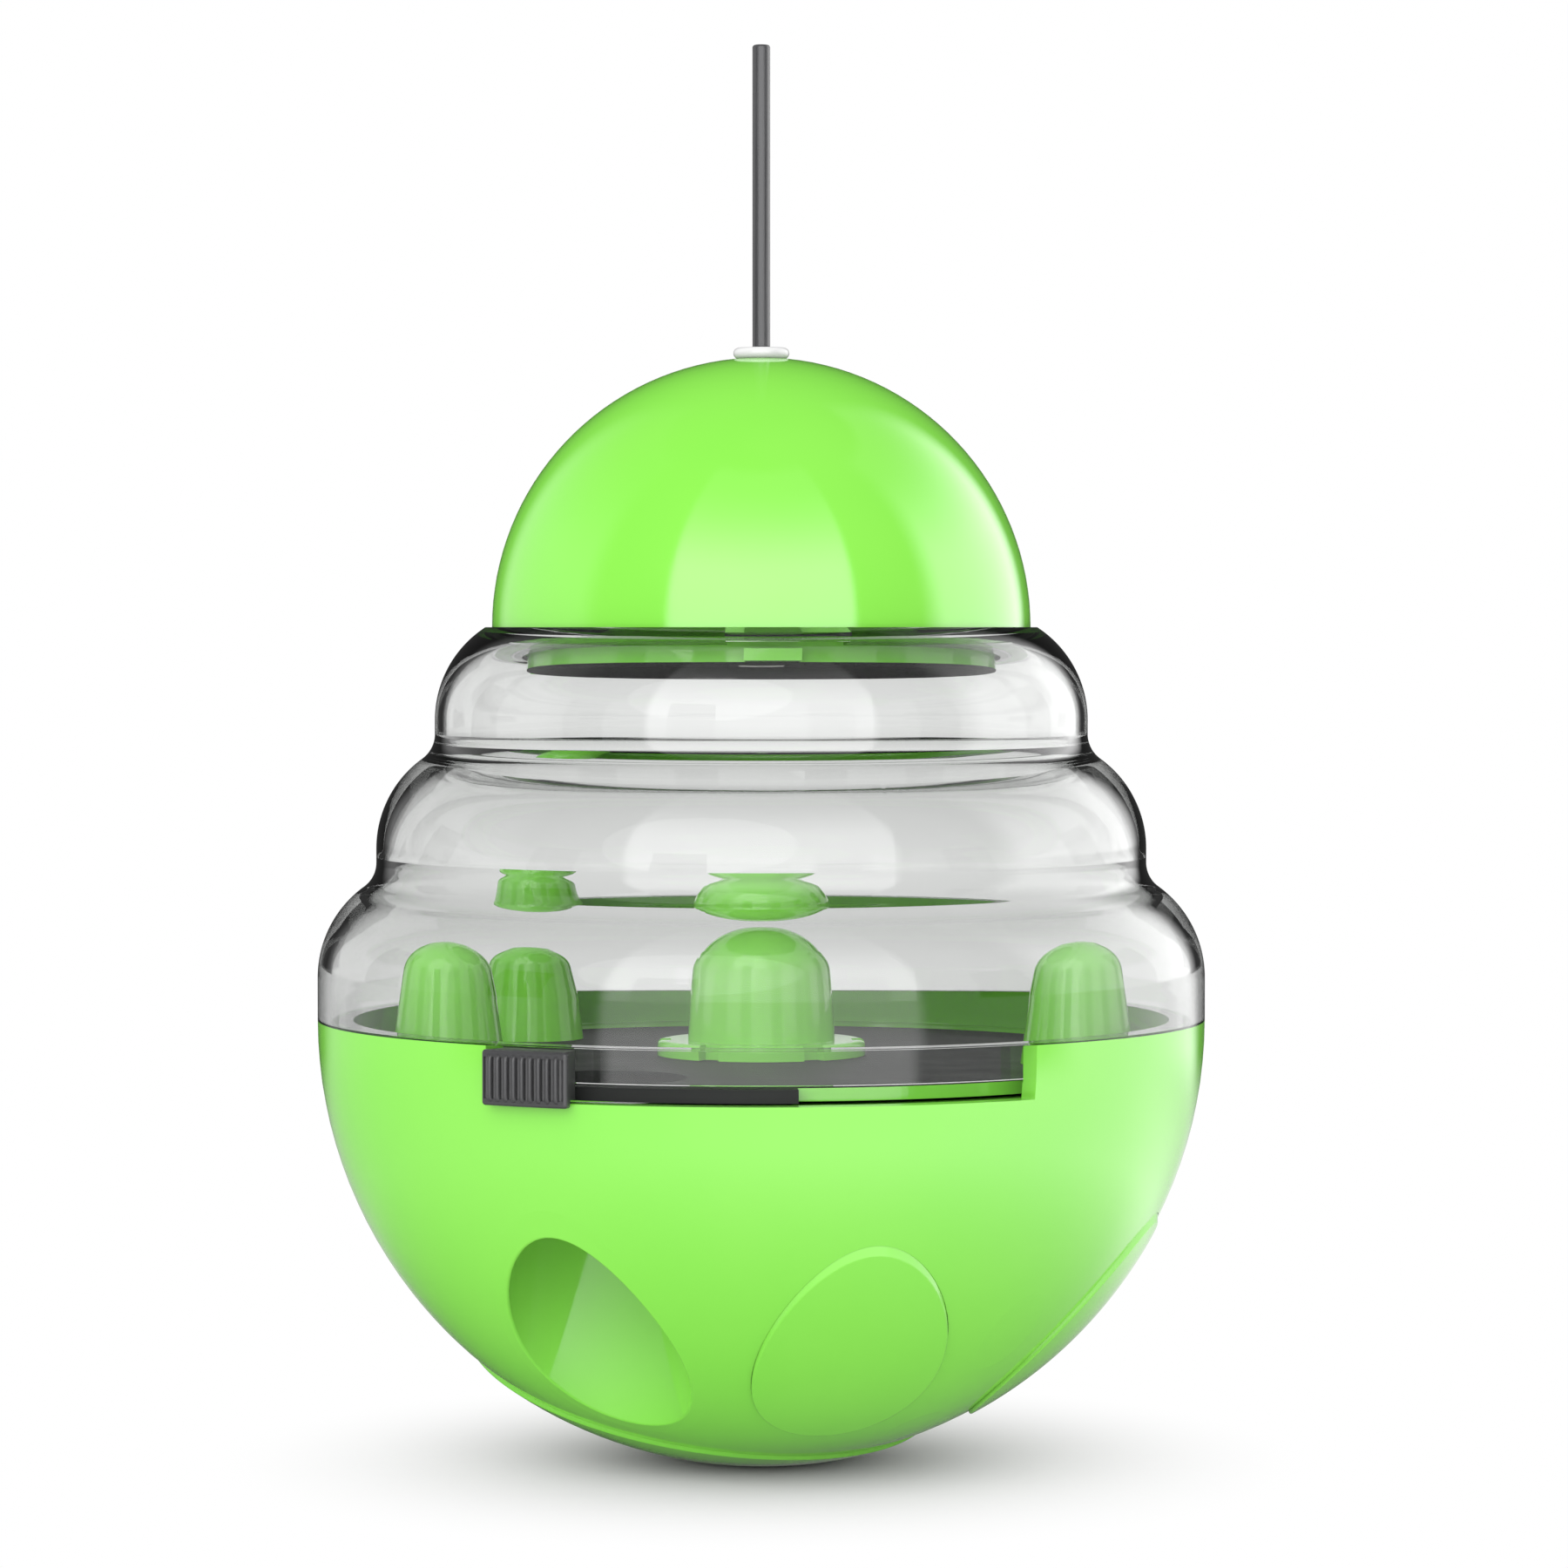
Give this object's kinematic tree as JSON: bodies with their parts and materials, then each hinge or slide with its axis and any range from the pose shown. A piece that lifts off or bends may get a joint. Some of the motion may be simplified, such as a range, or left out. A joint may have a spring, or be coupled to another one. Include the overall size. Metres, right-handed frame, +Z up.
{
  "type": "cat treat dispenser toy",
  "caption": "Roly-poly cat treat dispenser: weighted green hemisphere base with a round outlet and sliding knob, clear tiered treat chamber, twist-lock dome lid and a stiff upright wand.",
  "frame": {"origin": "middle of the small rest flat under the base, on the toy's upright axis", "axes": "+Z up along the toy's axis, -Y towards the viewer of the picture, +X to that viewer's right"},
  "size_m": [0.095, 0.095, 0.1516],
  "materials": {
    "green_plastic": "glossy moulded lime green",
    "clear_plastic": "clear, polished",
    "dark_plastic": "dark grey, fine satin",
    "white_plastic": "white, satin",
    "wand_fibre": "dark grey, glossy",
    "ballast_iron": "as cast",
    "clamp_steel": "pressed sheet",
    "screw_steel": "zinc plated",
    "seal_rubber": "pale silicone",
    "liner_rubber": "dark, soft sheet"
  },
  "bodies": {
    "base": {"base_shell": "green_plastic", "bottom_pad": "green_plastic", "front_plug": "green_plastic", "side_plug": "green_plastic", "ballast": "ballast_iron", "ballast_clamp": "clamp_steel", "ballast_screws": "screw_steel", "deck": "green_plastic", "deck_screws": "screw_steel", "hub_cap": "green_plastic", "hub_screw": "screw_steel", "chamber": "clear_plastic"},
    "shutter": {"shutter_plate": "dark_plastic", "shutter_knob": "dark_plastic", "left_post": "green_plastic", "right_post": "green_plastic", "rear_post": "green_plastic"},
    "seal": {"lid_seal": "seal_rubber"},
    "lid": {"lid_dome": "green_plastic", "lid_insert": "green_plastic", "lid_liner": "liner_rubber", "lid_screws": "screw_steel", "wand_grommet": "white_plastic"},
    "wand": {"wand_rod": "wand_fibre"}
  },
  "joints": [
    {"name": "shutter_turn", "type": "hinge", "parent": "base", "child": "shutter", "pos_m": [0, 0, 0.0428], "axis": [0, 0, 1], "range_deg": [0, 58.6]},
    {"name": "lid_lift", "type": "slide", "parent": "base", "child": "seal", "axis": [0, 0, 1], "range_m": [0, 0.045]},
    {"name": "lid_twist", "type": "hinge", "parent": "seal", "child": "lid", "pos_m": [0, 0, 0.0894], "axis": [0, 0, 1], "range_deg": [-40, 0]},
    {"name": "wand_pull", "type": "slide", "parent": "lid", "child": "wand", "axis": [0, 0, 1], "range_m": [0, 0.024]}
  ]
}
